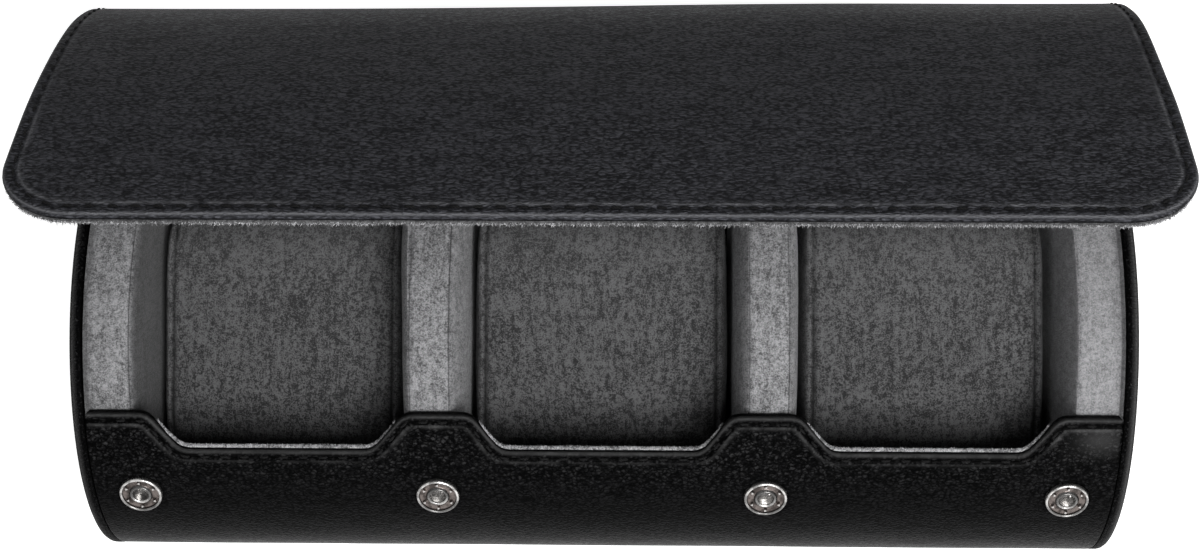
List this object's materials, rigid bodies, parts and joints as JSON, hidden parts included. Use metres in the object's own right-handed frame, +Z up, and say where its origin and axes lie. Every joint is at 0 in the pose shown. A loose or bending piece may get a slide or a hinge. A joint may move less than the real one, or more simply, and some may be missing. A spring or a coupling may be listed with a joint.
{
  "type": "watch travel case",
  "caption": "Round travel case for watches: a leather-covered roll with a long snap-down flap, suede dividers and removable cushions.",
  "frame": {"origin": "middle of the flat base", "axes": "+X along the roll to the right, -Y to the front, +Z up"},
  "size_m": [0.25, 0.1249, 0.1555],
  "materials": {
    "black_leather": "fine pebble grain, satin",
    "greyboard": "raw greyboard",
    "foam": "open foam",
    "light_suede": "brushed suede",
    "dark_suede": "brushed suede",
    "nickel": "polished nickel"
  },
  "bodies": {
    "case": {"wrap_leather": "black_leather", "wrap_board": "greyboard", "wrap_lining": "dark_suede", "hinge_roll": "black_leather", "end_cap_left": "black_leather", "end_cap_right": "black_leather", "end_board_left": "greyboard", "end_board_right": "greyboard", "end_pad_left": "light_suede", "end_pad_right": "light_suede", "divider_left": "light_suede", "divider_right": "light_suede", "divider_core_left": "greyboard", "divider_core_right": "greyboard", "floor_pad_left": "dark_suede", "floor_pad_middle": "dark_suede", "floor_pad_right": "dark_suede", "snap_sockets": "nickel", "snap_springs": "nickel", "snap_rivets": "nickel"},
    "flap_1": {"flap_leather_1": "black_leather", "flap_board_1": "greyboard", "flap_lining_1": "light_suede"},
    "flap_2": {"flap_leather_2": "black_leather", "flap_board_2": "greyboard", "flap_lining_2": "light_suede"},
    "flap_3": {"flap_leather_3": "black_leather", "flap_board_3": "greyboard", "flap_lining_3": "light_suede"},
    "flap_4": {"flap_leather_4": "black_leather", "flap_board_4": "greyboard", "flap_lining_4": "light_suede"},
    "flap_5": {"flap_leather_5": "black_leather", "flap_board_5": "greyboard", "flap_lining_5": "light_suede"},
    "flap_6": {"flap_leather_6": "black_leather", "flap_board_6": "greyboard", "flap_lining_6": "light_suede"},
    "flap_7": {"flap_leather_7": "black_leather", "flap_board_7": "greyboard", "flap_lining_7": "light_suede", "snap_studs": "nickel", "snap_stud_caps": "nickel"},
    "cushion_left": {"cushion_left": "dark_suede", "cushion_core_left": "foam"},
    "cushion_middle": {"cushion_middle": "dark_suede", "cushion_core_middle": "foam"},
    "cushion_right": {"cushion_right": "dark_suede", "cushion_core_right": "foam"}
  },
  "joints": [
    {"name": "flap_swing", "type": "hinge", "parent": "case", "child": "flap_1", "pos_m": [0, 0.0555, 0.0495], "axis": [-1, 0, 0], "range_deg": [-7.94, 110]},
    {"name": "flap_curl", "type": "hinge", "parent": "flap_1", "child": "flap_2", "pos_m": [0, 0.05748, 0.06619], "axis": [-1, 0, 0], "range_deg": [-13.76, 0]},
    {"name": "flap_curl_2", "type": "hinge", "parent": "flap_2", "child": "flap_3", "pos_m": [0, 0.05519, 0.088], "axis": [-1, 0, 0], "range_deg": [-12.81, 0]},
    {"name": "flap_curl_3", "type": "hinge", "parent": "flap_3", "child": "flap_4", "pos_m": [0, 0.01769, 0.1382], "axis": [-1, 0, 0], "range_deg": [-10.82, 0]},
    {"name": "flap_curl_4", "type": "hinge", "parent": "flap_4", "child": "flap_5", "pos_m": [0, -0.00285, 0.14588], "axis": [-1, 0, 0], "range_deg": [-15.81, 0]},
    {"name": "flap_curl_5", "type": "hinge", "parent": "flap_5", "child": "flap_6", "pos_m": [0, -0.02408, 0.15137], "axis": [-1, 0, 0], "range_deg": [-13.81, 0]},
    {"name": "flap_curl_6", "type": "hinge", "parent": "flap_6", "child": "flap_7", "pos_m": [0, -0.04587, 0.15386], "axis": [-1, 0, 0], "range_deg": [-19.81, 0]},
    {"name": "cushion_left_lift", "type": "slide", "parent": "case", "child": "cushion_left", "axis": [0, -0.3746, 0.9272], "range_m": [0, 0.06]},
    {"name": "cushion_middle_lift", "type": "slide", "parent": "case", "child": "cushion_middle", "axis": [0, -0.3746, 0.9272], "range_m": [0, 0.06]},
    {"name": "cushion_right_lift", "type": "slide", "parent": "case", "child": "cushion_right", "axis": [0, -0.3746, 0.9272], "range_m": [0, 0.06]}
  ],
  "couplings": [
    {"joint": "flap_curl_2", "follows": "flap_curl", "ratio": 0.92732},
    {"joint": "flap_curl_3", "follows": "flap_curl", "ratio": 0.78311},
    {"joint": "flap_curl_4", "follows": "flap_curl", "ratio": 1.1454},
    {"joint": "flap_curl_5", "follows": "flap_curl", "ratio": 1},
    {"joint": "flap_curl_6", "follows": "flap_curl", "ratio": 1.4361}
  ]
}
